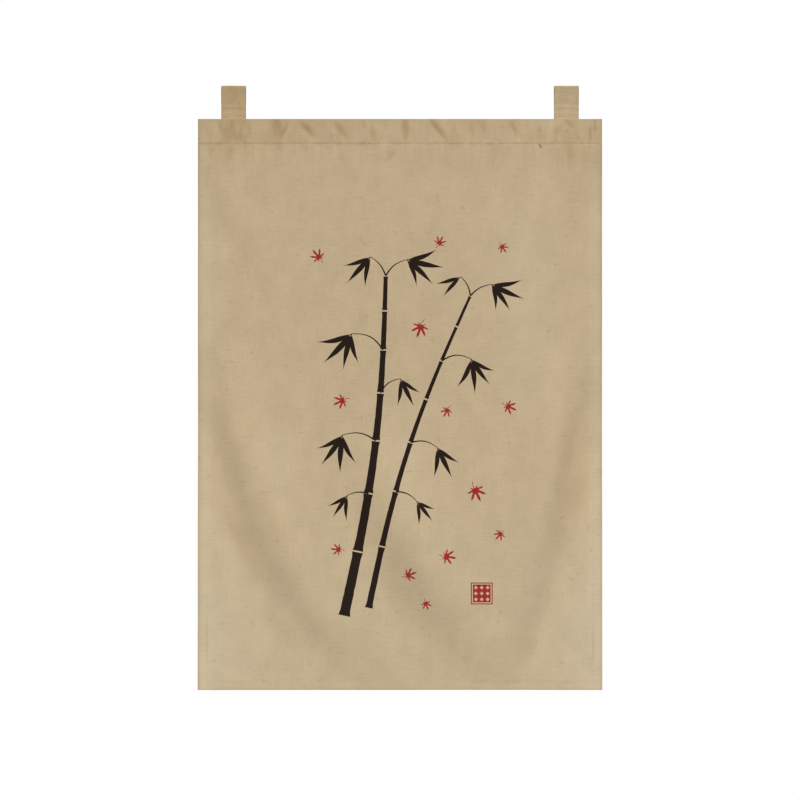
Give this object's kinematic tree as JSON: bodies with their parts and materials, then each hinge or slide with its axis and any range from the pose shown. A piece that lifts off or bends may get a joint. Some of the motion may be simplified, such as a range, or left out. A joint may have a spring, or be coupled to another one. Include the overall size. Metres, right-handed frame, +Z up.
{
  "type": "noren curtain",
  "caption": "Doorway curtain of hemmed natural linen with a stitched heading and soft slack folds, hung from a rod by tab loops near its top corners.",
  "frame": {"origin": "on the axis of the rod that the tab loops hold, midway between the tabs", "axes": "+Z up, towards the top of the tabs; +X along the rod, to the right seen from the front; +Y towards the back of the cloth, so its front faces -Y"},
  "size_m": [0.8509, 0.0379, 1.2701],
  "materials": {
    "panel_linen": "matt natural linen, plain weave with slubs",
    "tab_linen": "matt natural linen strap, folded double"
  },
  "bodies": {
    "root": {"panel": "panel_linen", "tab_left": "tab_linen", "tab_right": "tab_linen"}
  },
  "joints": []
}
